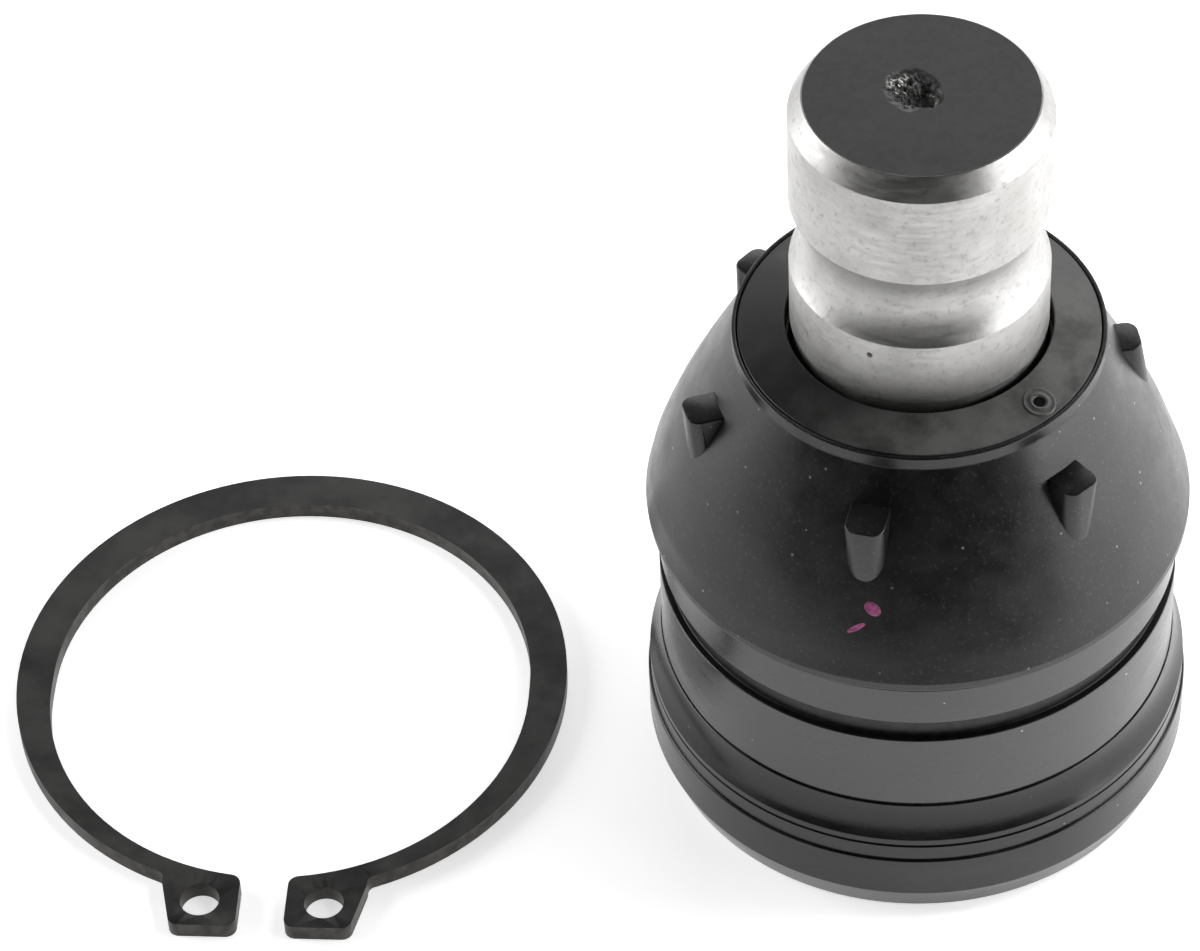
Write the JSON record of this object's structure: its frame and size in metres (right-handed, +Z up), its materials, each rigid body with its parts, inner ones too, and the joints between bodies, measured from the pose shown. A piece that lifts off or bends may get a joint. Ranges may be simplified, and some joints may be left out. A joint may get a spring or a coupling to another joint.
{
  "type": "suspension ball joint",
  "caption": "Press-in suspension ball joint: a round shouldered housing with a rubber boot and a swivelling stud with a pinch-bolt groove, and its loose external snap ring.",
  "frame": {"origin": "centre of the joint's underside, on the stud's axis", "axes": "+Z up the stud, from the foot to the stud's end; -X towards the loose snap ring; -Y towards the snap ring's gap"},
  "size_m": [0.097, 0.051, 0.069],
  "materials": {
    "housing_steel": "satin black coating on turned forged steel",
    "stud_steel": "ground bare steel",
    "boot_rubber": "matt black rubber",
    "collar_rubber": "smooth hard black rubber",
    "insert_steel": "plain steel",
    "seat_plastic": "natural acetal",
    "cover_steel": "black coated pressed steel",
    "ring_steel": "black phosphated spring steel"
  },
  "bodies": {
    "housing": {"housing": "housing_steel", "upper_seat": "seat_plastic", "lower_seat": "seat_plastic", "preload_spring": "insert_steel", "bottom_cover": "cover_steel", "boot_base_ring": "insert_steel"},
    "boot_swing": {"dust_boot": "boot_rubber"},
    "boot_top": {"boot_collar_ring": "collar_rubber"},
    "stud": {"ball_stud": "stud_steel"},
    "loose_ring": {"snap_ring": "ring_steel"}
  },
  "joints": [
    {"name": "stud_swing_x", "type": "hinge", "parent": "housing", "child": "boot_swing", "pos_m": [0, 0, 0.02], "axis": [1, 0, 0], "range_deg": [-20, 20], "deforming": ["dust_boot"]},
    {"name": "stud_swing_y", "type": "hinge", "parent": "boot_swing", "child": "boot_top", "pos_m": [0, 0, 0.02], "axis": [0, 1, 0], "range_deg": [-20, 20], "deforming": ["dust_boot"]},
    {"name": "stud_spin", "type": "hinge", "parent": "boot_top", "child": "stud", "pos_m": [0, 0, 0.02], "axis": [0, 0, 1], "continuous": true},
    {"name": "snap_ring_lift", "type": "slide", "parent": "housing", "child": "loose_ring", "axis": [0, 0, 1], "range_m": [0, 0.08]}
  ]
}
